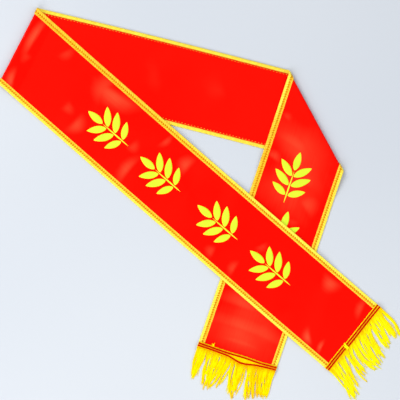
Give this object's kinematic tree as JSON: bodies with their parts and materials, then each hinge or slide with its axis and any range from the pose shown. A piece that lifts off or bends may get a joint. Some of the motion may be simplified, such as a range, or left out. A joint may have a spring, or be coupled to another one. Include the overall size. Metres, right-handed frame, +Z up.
{
  "type": "ceremonial sash",
  "caption": "Red satin ceremonial sash with braided edges and fringed ends, folded over twice and laid flat in crossing runs.",
  "frame": {"origin": "under the middle of the sash's overall outline, on the surface that it lies on", "axes": "+Z up from the surface; +X to the right and +Y to the top as the sash is seen from above, with the longest run falling from the upper left to the lower right"},
  "size_m": [0.7324, 0.7152, 0.0111],
  "materials": {
    "satin": "satin weave with a soft sheen",
    "braid": "golden yellow gimp braid",
    "front_yarn": "lemon yellow rayon yarn",
    "back_yarn": "golden yellow rayon yarn",
    "chain_cord": "rust red chain cord"
  },
  "bodies": {
    "root": {"satin_band": "satin", "upper_braid_front": "braid", "lower_braid_front": "braid", "upper_braid_left_fold": "braid", "lower_braid_left_fold": "braid", "upper_braid_middle": "braid", "lower_braid_middle": "braid", "upper_braid_right_fold": "braid", "lower_braid_right_fold": "braid", "upper_braid_back": "braid", "lower_braid_back": "braid", "front_fringe": "front_yarn", "back_fringe": "back_yarn", "front_chain_inner": "chain_cord", "front_chain_outer": "chain_cord", "back_chain_inner": "chain_cord", "back_chain_outer": "chain_cord"}
  },
  "joints": []
}
